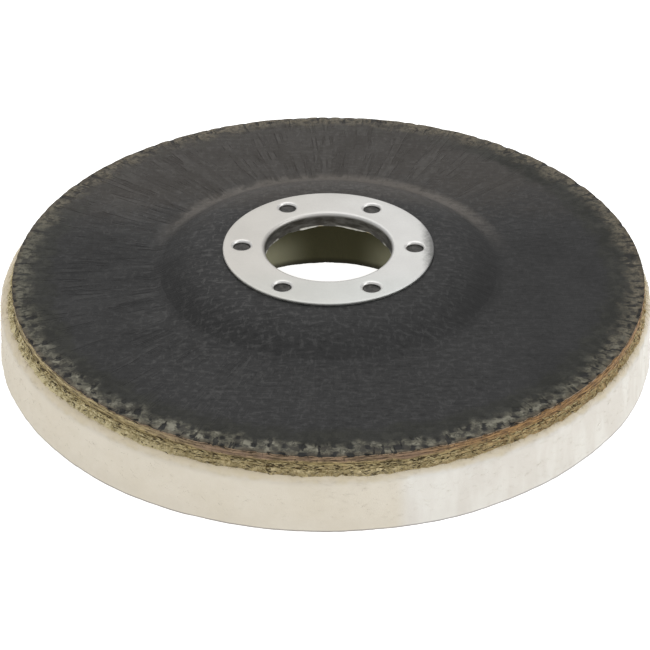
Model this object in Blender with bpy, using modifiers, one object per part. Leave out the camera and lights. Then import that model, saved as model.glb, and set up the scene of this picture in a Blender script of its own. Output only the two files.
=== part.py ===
"""Felt polishing wheel for an angle grinder.

A thick felt ring is glued under a depressed-centre backing plate. The plate is a pressed laminate: a black
cloth facing over three fine glass-mesh plies and one coarse one. A stamped steel ring lines its bore.

The origin is on the wheel's axis at the felt's working face. +Z points to the grinder. Sizes are in metres.
"""

import math

import bmesh
import bpy

# Felt ring
FELT_DIAMETER = 0.115
FELT_THICKNESS = 0.0100
FELT_BORE_DIAMETER = 0.044
FELT_TAPER = 0.0004
FELT_EDGE_RADIUS = 0.0007

# Adhesive bed on the felt
GLUE_THICKNESS = 0.00035
GLUE_SQUEEZE = 0.0007
GLUE_INSET = 0.0005

# Backing plate: outline of its top face
FELT_LEDGE = 0.0024
HUB_RISE = 0.0036
HUB_FLAT_MARGIN = 0.00105
HUB_SLOPE = math.radians(28)
SHOULDER_RADIUS = 0.0160
FOOT_RADIUS = 0.0034

# Backing plate: its layers, from the top down
FACING_THICKNESS = 0.00030
FINE_PLY_THICKNESS = 0.00045
FINE_PLIES = 3
COARSE_PLY_THICKNESS = 0.00050

# Steel arbor ring
ARBOR_BORE_DIAMETER = 0.02223
RING_DIAMETER = 0.0369
RING_SHEET = 0.0005
RING_EDGE_CHAMFER = 0.00012
LIP_RADIUS = 0.0009
COLLAR_DEPTH = 0.0028
PUNCHED_HOLES = 6
PUNCHED_HOLE_TOP_DIAMETER = 0.0034
PUNCHED_HOLE_BOTTOM_DIAMETER = 0.0030
FIRST_HOLE_ANGLE = math.radians(-1)

# Gaps between pieces
BOND_LINE = 0.0001
SEAT_GAP = 0.0001
COLLAR_CLEARANCE = 0.0003

# Facets
TURNED_STEPS = 48
SHOULDER_STEPS = 3
FOOT_STEPS = 2
LIP_STEPS = 4
EDGE_STEPS = 3
HOLE_STEPS = 16
SMOOTH_ANGLE = math.radians(40)
MERGE_DISTANCE = 0.00001
CUTTER_OVERRUN = 0.001

COLLECTION_NAME = "felt_polishing_wheel"


def arc(centre, radius, start, end, steps):
    """Points on an arc in the profile plane. An angle is measured from straight up, positive outwards."""
    points = []
    for i in range(steps + 1):
        angle = start + (end - start) * i / steps
        points.append((centre[0] + radius * math.sin(angle), centre[1] + radius * math.cos(angle)))
    return points


def layer_depths():
    """The depth of each plate layer's top and bottom under the plate's top face, by name."""
    thicknesses = {"black_facing": FACING_THICKNESS}
    for i in range(FINE_PLIES):
        thicknesses[f"glass_ply_{i + 1}"] = FINE_PLY_THICKNESS
    thicknesses["coarse_mesh_ply"] = COARSE_PLY_THICKNESS
    depths = {}
    top = 0.0
    for name, thickness in thicknesses.items():
        depths[name] = (top, top + thickness)
        top += thickness + BOND_LINE
    return depths


def plate_thickness():
    return max(bottom for top, bottom in layer_depths().values())


def rim_height():
    """Height of the plate's top face where it is flat, outside the hub."""
    return FELT_THICKNESS + BOND_LINE + GLUE_THICKNESS + BOND_LINE + plate_thickness()


def hub_height():
    return rim_height() + HUB_RISE


def hub_flat_radius():
    """The hub's flat top reaches a little past the steel ring that lies on it."""
    return RING_DIAMETER / 2 + HUB_FLAT_MARGIN


def hub_foot_radius():
    """The radius at which the hub's slope has run out into the flat rim."""
    bends = SHOULDER_RADIUS + FOOT_RADIUS
    straight = (HUB_RISE - bends * (1 - math.cos(HUB_SLOPE))) / math.sin(HUB_SLOPE)
    return hub_flat_radius() + bends * math.sin(HUB_SLOPE) + straight * math.cos(HUB_SLOPE)


def plate_rim_radius():
    """The plate stops short of the felt's edge and leaves a ledge of felt all round."""
    return FELT_DIAMETER / 2 - FELT_LEDGE


def plate_bore_radius():
    return ARBOR_BORE_DIAMETER / 2 + RING_SHEET + COLLAR_CLEARANCE


def punched_circle_radius():
    """The holes lie midway between the end of the rolled lip and the ring's edge."""
    return (ARBOR_BORE_DIAMETER / 2 + LIP_RADIUS + RING_DIAMETER / 2) / 2


def plate_line(depth):
    """The plate's cross-section at one depth under its top face, from the bore to the rim."""
    shoulder_centre = (hub_flat_radius(), hub_height() - SHOULDER_RADIUS)
    foot_centre = (hub_foot_radius(), rim_height() + FOOT_RADIUS)
    line = [(plate_bore_radius(), hub_height() - depth)]
    line += arc(shoulder_centre, SHOULDER_RADIUS - depth, 0, HUB_SLOPE, SHOULDER_STEPS)
    line += arc(foot_centre, FOOT_RADIUS + depth, math.pi + HUB_SLOPE, math.pi, FOOT_STEPS)
    line.append((plate_rim_radius(), rim_height() - depth))
    return line


def collection(name, is_helper=False):
    made = bpy.data.collections.new(name)
    made.hide_render = is_helper
    bpy.context.scene.collection.children.link(made)
    return made


def finish(name, colour, roughness, metallic=0.0):
    """A Principled material."""
    material = bpy.data.materials.new(name)
    material.use_nodes = True
    shader = material.node_tree.nodes["Principled BSDF"]
    shader.inputs["Base Color"].default_value = (*colour, 1)
    shader.inputs["Roughness"].default_value = roughness
    shader.inputs["Metallic"].default_value = metallic
    return material


def turned(name, outline, material, parts):
    """A closed outline of (radius, height) points, clockwise from the top inside, turned about Z."""
    mesh = bpy.data.meshes.new(name)
    points = [(radius, 0, height) for radius, height in outline]
    edges = [(i, (i + 1) % len(points)) for i in range(len(points))]
    mesh.from_pydata(points, edges, [])
    mesh.materials.append(material)
    piece = bpy.data.objects.new(name, mesh)
    parts.objects.link(piece)
    screw = piece.modifiers.new("turn", "SCREW")
    screw.axis = "Z"
    screw.angle = math.tau
    screw.steps = TURNED_STEPS
    screw.render_steps = TURNED_STEPS
    screw.use_merge_vertices = True
    screw.merge_threshold = MERGE_DISTANCE
    screw.use_smooth_shade = True
    return piece


def plate_layer(name, depths, material, parts):
    """One pressed layer of the plate: the same dished line at its top and bottom depth."""
    top, bottom = depths
    return turned(name, plate_line(top) + plate_line(bottom)[::-1], material, parts)


def glue_layer(material, parts):
    """The flat bed on the felt, from just outside the hub's foot to a little past the plate's rim."""
    inner = hub_foot_radius() + GLUE_INSET
    outer = plate_rim_radius() + GLUE_SQUEEZE
    bottom = FELT_THICKNESS + BOND_LINE
    top = bottom + GLUE_THICKNESS
    outline = [(inner, top), (outer, top), (outer, bottom), (inner, bottom)]
    return turned("glue_layer", outline, material, parts)


def felt_ring(material, parts):
    """The felt, a little narrower at its glued face and soft at its outer edges."""
    inner = FELT_BORE_DIAMETER / 2
    bottom_outer = FELT_DIAMETER / 2
    top_outer = bottom_outer - FELT_TAPER
    round_off = FELT_EDGE_RADIUS
    upper = (top_outer - round_off, FELT_THICKNESS - round_off)
    lower = (bottom_outer - round_off, round_off)
    quarter = math.pi / 2
    outline = [(inner, FELT_THICKNESS)]
    outline += arc(upper, round_off, 0, quarter, EDGE_STEPS)
    outline += arc(lower, round_off, quarter, 2 * quarter, EDGE_STEPS)
    outline.append((inner, 0))
    return turned("felt_ring", outline, material, parts)


def hole_cutter(index, underside, cutters):
    """A slightly conical punch through the ring's flange."""
    shape = bmesh.new()
    overrun_taper = (
        (PUNCHED_HOLE_TOP_DIAMETER - PUNCHED_HOLE_BOTTOM_DIAMETER) / 2 * CUTTER_OVERRUN / RING_SHEET
    )
    bmesh.ops.create_cone(
        shape,
        cap_ends=True,
        segments=HOLE_STEPS,
        radius1=PUNCHED_HOLE_BOTTOM_DIAMETER / 2 - overrun_taper,
        radius2=PUNCHED_HOLE_TOP_DIAMETER / 2 + overrun_taper,
        depth=RING_SHEET + 2 * CUTTER_OVERRUN,
    )
    mesh = bpy.data.meshes.new(f"punch_{index + 1}")
    shape.to_mesh(mesh)
    shape.free()
    cutter = bpy.data.objects.new(mesh.name, mesh)
    angle = FIRST_HOLE_ANGLE + math.tau * index / PUNCHED_HOLES
    reach = punched_circle_radius()
    cutter.location = (reach * math.cos(angle), reach * math.sin(angle), underside + RING_SHEET / 2)
    cutter.hide_render = True
    cutter.display_type = "WIRE"
    cutters.objects.link(cutter)
    return cutter


def arbor_ring(material, parts, cutters):
    """The flange on the hub, the lip rolled into the bore, and the collar down the bore."""
    underside = hub_height() + SEAT_GAP
    top = underside + RING_SHEET
    bore = ARBOR_BORE_DIAMETER / 2
    edge = RING_DIAMETER / 2
    chamfer = RING_EDGE_CHAMFER
    lip_centre = (bore + LIP_RADIUS, top - LIP_RADIUS)
    quarter = math.pi / 2
    outline = arc(lip_centre, LIP_RADIUS, -quarter, 0, LIP_STEPS)
    outline += [(edge - chamfer, top), (edge, top - chamfer), (edge, underside)]
    outline += arc(lip_centre, LIP_RADIUS - RING_SHEET, 0, -quarter, LIP_STEPS)
    outline += [(bore + RING_SHEET, top - COLLAR_DEPTH), (bore, top - COLLAR_DEPTH)]
    ring = turned("arbor_ring", outline, material, parts)
    for index in range(PUNCHED_HOLES):
        cut = ring.modifiers.new(f"punch_{index + 1}", "BOOLEAN")
        cut.operation = "DIFFERENCE"
        cut.solver = "EXACT"
        cut.object = hole_cutter(index, underside, cutters)
    return ring


def build():
    for old in list(bpy.data.objects):
        bpy.data.objects.remove(old)
    parts = collection(COLLECTION_NAME)
    cutters = collection("cutters", is_helper=True)
    felt = finish("wool_felt", (0.66, 0.60, 0.49), 0.95)
    glue = finish("dried_glue", (0.25, 0.19, 0.09), 0.55)
    mesh_ply = finish("coarse_glass_mesh", (0.23, 0.18, 0.09), 0.75)
    laminate = finish("glass_laminate", (0.20, 0.14, 0.08), 0.65)
    cloth = finish("black_cloth", (0.045, 0.045, 0.047), 0.80)
    steel = finish("stamped_steel", (0.62, 0.61, 0.59), 0.38, metallic=1.0)
    felt_ring(felt, parts)
    glue_layer(glue, parts)
    materials = {"black_facing": cloth, "coarse_mesh_ply": mesh_ply}
    for name, depths in layer_depths().items():
        plate_layer(name, depths, materials.get(name, laminate), parts)
    arbor_ring(steel, parts, cutters)


build()
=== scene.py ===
"""Felt polishing wheel: the finished look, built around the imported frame.

Sizes are in metres, in the frame's own axes: +Z is the wheel's axis, towards the grinder, and the felt's
working face lies on Z = 0. Each piece is a dense mesh worked out from the frame, with a node material.
The materials work in millimetres.
"""

import functools
import math

import bpy
import numpy as np
from mathutils import Matrix, Vector


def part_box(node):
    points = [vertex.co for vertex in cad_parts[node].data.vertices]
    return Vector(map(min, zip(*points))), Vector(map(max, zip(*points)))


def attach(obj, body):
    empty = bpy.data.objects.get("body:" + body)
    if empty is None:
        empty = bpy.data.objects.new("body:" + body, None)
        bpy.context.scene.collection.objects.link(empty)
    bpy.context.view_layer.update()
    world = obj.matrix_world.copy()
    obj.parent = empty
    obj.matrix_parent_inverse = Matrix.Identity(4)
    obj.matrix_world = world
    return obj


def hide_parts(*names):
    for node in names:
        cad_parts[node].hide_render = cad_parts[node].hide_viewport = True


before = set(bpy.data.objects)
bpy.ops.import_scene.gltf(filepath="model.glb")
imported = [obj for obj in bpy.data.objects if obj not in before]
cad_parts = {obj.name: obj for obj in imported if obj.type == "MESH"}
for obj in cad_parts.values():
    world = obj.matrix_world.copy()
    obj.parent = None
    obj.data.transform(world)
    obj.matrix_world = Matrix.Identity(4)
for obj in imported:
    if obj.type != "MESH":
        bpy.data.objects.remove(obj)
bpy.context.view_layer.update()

MM = 0.001
TURN = 2 * math.pi
BODY = "root"


# ---------------------------------------------------------------- sizes from the frame
def points_of(name):
    """The CAD node's points, each as its radius and height."""
    return [(math.hypot(v.co.x, v.co.y), v.co.z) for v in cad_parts[name].data.vertices]


def radii_at(name, height):
    """The radii, in order, at which the CAD node has points at this height."""
    return sorted(radius for radius, z in points_of(name) if abs(z - height) < 0.001 * MM)


RING_LOW, RING_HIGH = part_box("arbor_ring")
FACING_LOW, FACING_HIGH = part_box("black_facing")
COARSE_LOW, COARSE_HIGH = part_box("coarse_mesh_ply")
GLUE_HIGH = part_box("glue_layer")[1]
FELT_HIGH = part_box("felt_ring")[1]
RING_RADIUS = RING_HIGH.x
RING_TOP = RING_HIGH.z
COLLAR_END = RING_LOW.z
BORE_RADIUS = min(radius for radius, _ in points_of("arbor_ring"))
HUB_TOP = FACING_HIGH.z
PLATE_BORE = radii_at("black_facing", HUB_TOP)[0]
HUB_FLAT = radii_at("black_facing", HUB_TOP)[-1]
BELOW_HUB_TOP = [
    z for radius, z in points_of("black_facing") if z < HUB_TOP - 0.1 * MM and radius < PLATE_BORE + 0.1 * MM
]
FACING_SHEET = HUB_TOP - max(BELOW_HUB_TOP)
RIM_TOP = FACING_LOW.z + FACING_SHEET
HUB_FOOT = radii_at("black_facing", RIM_TOP)[0]
GLUE_INNER = radii_at("glue_layer", GLUE_HIGH.z)[0]
FELT_RADIUS = FELT_HIGH.x
FELT_TOP = FELT_HIGH.z
FELT_BORE = radii_at("felt_ring", 0)[0]
COARSE_SHEET = RIM_TOP - (HUB_TOP - COARSE_HIGH.z) - COARSE_LOW.z

# ---------------------------------------------------------------- sizes of the finish
PLATE_FRAY = 0.12 * MM
PLATE_RADIUS = FACING_HIGH.x + PLATE_FRAY
SHOULDER_RADIUS = 16 * MM
FOOT_RADIUS = 3.4 * MM
RING_SHEET = 0.5 * MM
RING_EDGE_ROUND = 0.22 * MM
LIP_RADIUS = 0.7 * MM
HOLES = 6
FIRST_HOLE = math.radians(-1)
HOLE_RADIUS = 1.46 * MM
HOLE_FLARE = 0.6 * MM
GLASS_PITCH = 2.4 * MM
COARSE_PITCH = 2.0 * MM
WORN_BAND = 5.5 * MM
FELT_OFFSET = Vector((-0.5 * MM, 0, 0))
FELT_TAPER = 0.4 * MM
FELT_SOFT = 1.5 * MM
FELT_FOOT = 0.15 * MM
FINE_SHEET = 0.45 * MM
BOND_LINE = 0.1 * MM
YARN_STEP = 0.3 * MM

# ---------------------------------------------------------------- steps round the wheel
FACING_STEPS = 1000
PLY_STEPS = 900
GLUE_STEPS = 1440
FELT_STEPS = 680
RING_STEPS = 360
PUNCH_STEPS = 40

# ---------------------------------------------------------------- studio sizes
FLOOR_REACH = 4.0
FLOOR_LEVEL = -0.02 * MM
SKY_STRENGTH = 0.58
CAMERA_DISTANCE = 379.7 * MM
CAMERA_ELEVATION = math.radians(32.12)
FOCAL = 2160 / 650
AXIS_ABOVE_CENTRE = math.atan(58.9 / 2160)
AXIS_RIGHT_OF_CENTRE = math.atan(3.9 / 2160)


# ---------------------------------------------------------------- numbers
def smooth_step(low, high, value):
    share = np.clip((value - low) / (high - low), 0, 1)
    return share * share * (3 - 2 * share)


@functools.cache
def noise_table(seed, cells):
    return np.random.default_rng(seed).uniform(-1, 1, cells)


def noise_at(x, y, seed, cells=(256, 256)):
    """Smooth noise from -1 to 1, one cell to each unit, which repeats after that many cells."""
    table = noise_table(seed, cells)
    column, row = np.floor(x).astype(int), np.floor(y).astype(int)
    u, v = x - column, y - row
    u, v = u * u * (3 - 2 * u), v * v * (3 - 2 * v)

    def corner(i, j):
        return table[(column + i) % cells[0], (row + j) % cells[1]]

    near = corner(0, 0) * (1 - u) + corner(1, 0) * u
    far = corner(0, 1) * (1 - u) + corner(1, 1) * u
    return near * (1 - v) + far * v


def rough_noise(x, y, seed, octaves=3):
    """Noise with finer noise on it."""
    total = 0
    for i in range(octaves):
        total = total + noise_at(x * 2**i, y * 2**i, seed + i) / 2**i
    return total / 1.75


def around_noise(theta, cells, seed, along=0.0):
    """Noise with this many cells round the wheel, which meets itself."""
    return noise_at(theta / TURN * cells, np.asarray(along), seed, (cells, 256))


# ---------------------------------------------------------------- the plate's dished line
def hub_slope():
    """The angle of the straight run that touches both the shoulder's and the foot's round."""
    bends = SHOULDER_RADIUS + FOOT_RADIUS
    across, down = HUB_FOOT - HUB_FLAT, bends - (HUB_TOP - RIM_TOP)
    run = math.sqrt(across**2 + down**2 - bends**2)
    return math.atan2(across, down) - math.atan2(run, bends)


HUB_SLOPE = hub_slope()


def plate_height(radius, depth=0.0):
    """Height of the plate's surface at this depth under its top face."""
    shoulder, foot = SHOULDER_RADIUS - depth, FOOT_RADIUS + depth
    shoulder_end = HUB_FLAT + shoulder * math.sin(HUB_SLOPE)
    foot_start = HUB_FOOT - foot * math.sin(HUB_SLOPE)
    bent = HUB_TOP - SHOULDER_RADIUS + np.sqrt(np.maximum(shoulder**2 - (radius - HUB_FLAT) ** 2, 0))
    straight = (
        HUB_TOP - SHOULDER_RADIUS + shoulder * math.cos(HUB_SLOPE)
        - (radius - shoulder_end) * math.tan(HUB_SLOPE)
    )
    hollow = RIM_TOP + FOOT_RADIUS - np.sqrt(np.maximum(foot**2 - (HUB_FOOT - radius) ** 2, 0))
    return np.select(
        [radius <= HUB_FLAT, radius <= shoulder_end, radius <= foot_start, radius <= HUB_FOOT],
        [HUB_TOP - depth, bent, straight, hollow],
        RIM_TOP - depth,
    )


# ---------------------------------------------------------------- mesh tools
def mesh_from(name, points, faces):
    mesh = bpy.data.meshes.new(name)
    mesh.from_pydata(points, [], faces)
    mesh.validate()
    mesh.update()
    mesh.shade_smooth()
    return mesh


def dense(outline, step):
    """The closed outline with points added, so that none is further from the next than step."""
    filled = []
    for start, end in zip(outline, outline[1:] + outline[:1]):
        count = max(1, math.ceil(math.dist(start, end) / step))
        for i in range(count):
            share = i / count
            filled.append([start[0] + (end[0] - start[0]) * share, start[1] + (end[1] - start[1]) * share])
    return filled


def arc_points(centre, radius, start, end, steps):
    """Points on an arc of a section. An angle is measured from straight up, positive outwards."""
    points = []
    for i in range(steps + 1):
        angle = math.radians(start + (end - start) * i / steps)
        points.append((centre[0] + radius * math.sin(angle), centre[1] + radius * math.cos(angle)))
    return points


def turned_faces(rows, steps):
    """Quads between neighbouring rows of a turned closed section, facing out."""
    index = np.arange(rows * steps).reshape(rows, steps)
    after = np.roll(index, -1, axis=0)
    quads = np.stack([index, after, np.roll(after, -1, axis=1), np.roll(index, -1, axis=1)], axis=-1)
    return quads.reshape(-1, 4)


def turned_mesh(name, section, steps, shape):
    """A closed section of (radius, height) points, clockwise, turned about Z. shape moves its points."""
    section = np.array(section, float)
    theta = np.arange(steps) * TURN / steps
    radius, angle = np.meshgrid(section[:, 0], theta, indexing="ij")
    height = np.repeat(section[:, 1:2], steps, axis=1)
    radius, height = shape(radius, angle, height)
    points = round_path(radius, angle, height).reshape(-1, 3)
    return mesh_from(name, points, turned_faces(len(section), steps))


def tubes_mesh(name, paths, widths, heights, sides=8):
    """Closed tubes along paths. Each cross-section is an ellipse, level across the path."""
    points, faces, first = [], [], 0
    around = np.arange(sides) * TURN / sides
    for path, width, height in zip(paths, widths, heights):
        path = np.asarray(path)
        ahead = np.gradient(path, axis=0)
        ahead /= np.linalg.norm(ahead, axis=1, keepdims=True)
        across = np.cross([0, 0, 1], ahead)
        across /= np.linalg.norm(across, axis=1, keepdims=True)
        above = np.cross(ahead, across)
        width = np.broadcast_to(width, len(path))[:, None, None]
        height = np.broadcast_to(height, len(path))[:, None, None]
        ring = (
            path[:, None]
            + across[:, None] * np.cos(around)[None, :, None] * width / 2
            + above[:, None] * np.sin(around)[None, :, None] * height / 2
        )
        count = len(path)
        points.append(ring.reshape(-1, 3))
        index = first + np.arange(count * sides).reshape(count, sides)
        near, far = index[:-1], index[1:]
        quads = np.stack([near, far, np.roll(far, -1, axis=1), np.roll(near, -1, axis=1)], axis=-1)
        faces += quads.reshape(-1, 4)[:, ::-1].tolist()
        faces.append(index[0].tolist())
        faces.append(index[-1][::-1].tolist())
        first += count * sides
    return mesh_from(name, np.concatenate(points), faces)


def round_path(radius, angle, height):
    """A path from its radii, angles and heights."""
    return np.stack([radius * np.cos(angle), radius * np.sin(angle), height], axis=-1)


def place(name, mesh, material, slot, *nodes, at=None):
    """The piece in the scene, riding on the wheel and standing for these CAD nodes."""
    made = bpy.data.objects.new(name, mesh)
    bpy.context.scene.collection.objects.link(made)
    if at:
        made.data.transform(Matrix.Translation(at))
    made.data.materials.append(material)
    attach(made, BODY)
    if nodes:
        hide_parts(*nodes)
    return made


# ---------------------------------------------------------------- shader tools
def tint(red, green, blue):
    """A linear colour."""
    return (red, green, blue, 1)


def grey(value):
    return tint(value, value, value)


def colour(*value):
    """An sRGB colour, 0 to 255, as the linear colour that a socket holds."""
    linear = [(c / 255 / 12.92 if c <= 10 else ((c / 255 + 0.055) / 1.055) ** 2.4) for c in value]
    return tint(*linear)


class Nodes:
    """A shader tree and short ways to add to it. An input is a constant or another node's output."""

    def __init__(self, tree):
        self.tree = tree

    def fill(self, sockets, inputs):
        for key, value in inputs.items():
            if isinstance(value, bpy.types.NodeSocket):
                self.tree.links.new(value, sockets[key])
            else:
                sockets[key].default_value = value

    def node(self, kind, inputs=None, **settings):
        made = self.tree.nodes.new("ShaderNode" + kind)
        for key, value in settings.items():
            setattr(made, key, value)
        self.fill(made.inputs, inputs or {})
        return made

    def group(self, tree, inputs):
        """The outputs of a shader group placed here."""
        made = self.tree.nodes.new("ShaderNodeGroup")
        made.node_tree = tree
        self.fill(made.inputs, inputs)
        return made.outputs

    def math(self, operation, *values):
        return self.node("Math", dict(enumerate(values)), operation=operation).outputs[0]

    def times(self, first, *others):
        for other in others:
            first = self.math("MULTIPLY", first, other)
        return first

    def plus(self, first, second):
        return self.math("ADD", first, second)

    def less(self, first, second):
        return self.math("SUBTRACT", first, second)

    def times_plus(self, first, factor, more):
        return self.math("MULTIPLY_ADD", first, factor, more)

    def size(self, value):
        return self.math("ABSOLUTE", value)

    def blend(self, share, low, high, mode="MIX"):
        """A colour between low and high."""
        made = self.node("Mix", {0: share, 6: low, 7: high}, data_type="RGBA", blend_type=mode)
        return made.outputs[2]

    def mix(self, share, low, high):
        """A number between low and high."""
        return self.node("Mix", {0: share, 2: low, 3: high}, data_type="FLOAT").outputs[0]

    def between(self, value, low, high, to_low=0.0, to_high=1.0):
        """The value remapped smoothly from low..high to to_low..to_high."""
        inputs = {0: value, 1: low, 2: high, 3: to_low, 4: to_high}
        return self.node("MapRange", inputs, interpolation_type="SMOOTHSTEP").outputs[0]

    def vector(self, operation, inputs):
        return self.node("VectorMath", inputs, operation=operation).outputs

    def stretched(self, vector, x=1.0, y=1.0, z=1.0):
        return self.vector("MULTIPLY", {0: vector, 1: (x, y, z)})[0]

    def from_axis(self, vector):
        """Distance from the wheel's axis."""
        return self.vector("LENGTH", {0: self.stretched(vector, z=0.0)})["Value"]

    def noise(self, vector, scale, detail=3.0, roughness=0.55):
        inputs = {"Vector": vector, "Scale": scale, "Detail": detail, "Roughness": roughness}
        return self.node("TexNoise", inputs).outputs[0]

    def split(self, vector):
        return self.node("SeparateXYZ", {0: vector}).outputs


class Finish(Nodes):
    """A new material's nodes. at is the place on the piece in millimetres, and x, y and z are its parts."""

    def __init__(self, name):
        self.material = bpy.data.materials.new(name)
        self.material.use_nodes = True
        super().__init__(self.material.node_tree)
        self.shader = self.tree.nodes["Principled BSDF"]
        own = self.node("TexCoord").outputs["Object"]
        self.at = self.vector("SCALE", {0: own, "Scale": 1 / MM})[0]
        self.x, self.y, self.z = self.split(self.at)

    def upward(self):
        """1 where the surface faces up, 0 where it is upright."""
        return self.split(self.node("NewGeometry").outputs["Normal"])[2]

    def coat(self, base_colour, roughness, specular=0.5, metallic=0.0):
        """Fills the shader's own sockets and gives back the material."""
        self.fill(self.shader.inputs, {"Base Color": base_colour, "Roughness": roughness})
        self.fill(self.shader.inputs, {"Specular IOR Level": specular, "Metallic": metallic})
        return self.material

    def bump(self, height, distance, strength):
        made = self.node("Bump", {"Height": height, "Distance": distance, "Strength": strength})
        self.tree.links.new(made.outputs[0], self.shader.inputs["Normal"])


# ---------------------------------------------------------------- shader groups
class Group(Nodes):
    """A new shader group, with inputs (name, kind, default) and outputs (name, kind)."""

    def __init__(self, name, inputs, outputs):
        super().__init__(bpy.data.node_groups.new(name, "ShaderNodeTree"))
        for label, kind, default in inputs:
            socket = self.tree.interface.new_socket(label, in_out="INPUT", socket_type="NodeSocket" + kind)
            if default is not None:
                socket.default_value = default
        for label, kind in outputs:
            self.tree.interface.new_socket(label, in_out="OUTPUT", socket_type="NodeSocket" + kind)
        self.given = self.tree.nodes.new("NodeGroupInput").outputs
        self.put = self.tree.nodes.new("NodeGroupOutput").inputs


def weave_group():
    """A plain weave: threads along X and Y that pass over and under each other."""
    made = Group("plain_weave", [("Vector", "Vector", None), ("Pitch", "Float", 1.0)], [("Height", "Float")])
    x, y, _ = made.split(made.given["Vector"])
    turns = made.math("DIVIDE", math.pi, made.given["Pitch"])
    along_x, along_y = made.times(x, turns), made.times(y, turns)
    over_x = made.size(made.math("SINE", along_x))
    over_y = made.size(made.math("SINE", along_y))
    both = made.times(made.math("COSINE", along_x), made.math("COSINE", along_y))
    share = made.between(both, -0.4, 0.4)
    low = made.times(made.less(1.0, share), over_x)
    made.fill(made.put, {"Height": made.times_plus(share, over_y, low)})
    return made.tree


def grain_group():
    """Mottling at two sizes, from 0 to 1."""
    made = Group(
        "mottled_grain",
        [
            ("Vector", "Vector", None),
            ("Coarse", "Float", 0.2),
            ("Fine", "Float", 2.0),
            ("Fine Share", "Float", 0.4),
        ],
        [("Value", "Float")],
    )
    given = made.given
    coarse = made.noise(given["Vector"], given["Coarse"], 3.0)
    fine = made.noise(given["Vector"], given["Fine"], 4.0, 0.65)
    value = made.mix(given["Fine Share"], coarse, fine)
    made.fill(made.put, {"Value": made.between(value, 0.3, 0.7)})
    return made.tree


def crease_group():
    """Thin broken lines that run out from the wheel's axis: painted shadow in each crease, with a painted
    highlight on the edge beside it.
    """
    made = Group(
        "radial_creases",
        [
            ("Vector", "Vector", None),
            ("Around", "Float", 38.0),
            ("Along", "Float", 0.12),
            ("Scale", "Float", 1.0),
        ],
        [("Dark", "Float"), ("Pale", "Float"), ("Value", "Float")],
    )
    given = made.given
    level = made.stretched(given["Vector"], z=0.0)
    bearing = made.vector("NORMALIZE", {0: level})[0]
    bearing = made.vector("SCALE", {0: bearing, "Scale": given["Around"]})[0]
    reach = made.times(made.from_axis(given["Vector"]), given["Along"])
    upright = made.node("CombineXYZ", {2: reach}).outputs[0]
    ray = made.vector("ADD", {0: bearing, 1: upright})[0]
    value = made.noise(ray, given["Scale"], 3.0, 0.55)
    broken = made.between(made.noise(given["Vector"], 0.28, 2.0), 0.40, 0.60)
    off = made.less(value, 0.5)
    # Painted shadow along each line, and a painted highlight just beside it.
    dark = made.between(made.size(off), 0.045, 0.008)
    pale = made.between(made.size(made.less(off, 0.085)), 0.055, 0.01)
    made.fill(made.put, {"Dark": made.times(dark, broken), "Pale": made.times(pale, broken), "Value": value})
    return made.tree


WEAVE = weave_group()
GRAIN = grain_group()
CREASES = crease_group()

# The plate's and the felt's sizes in millimetres, for the materials.
FOOT = HUB_FOOT / MM
EDGE = PLATE_RADIUS / MM
RIM = RIM_TOP / MM
BED = FELT_TOP / MM


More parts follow.
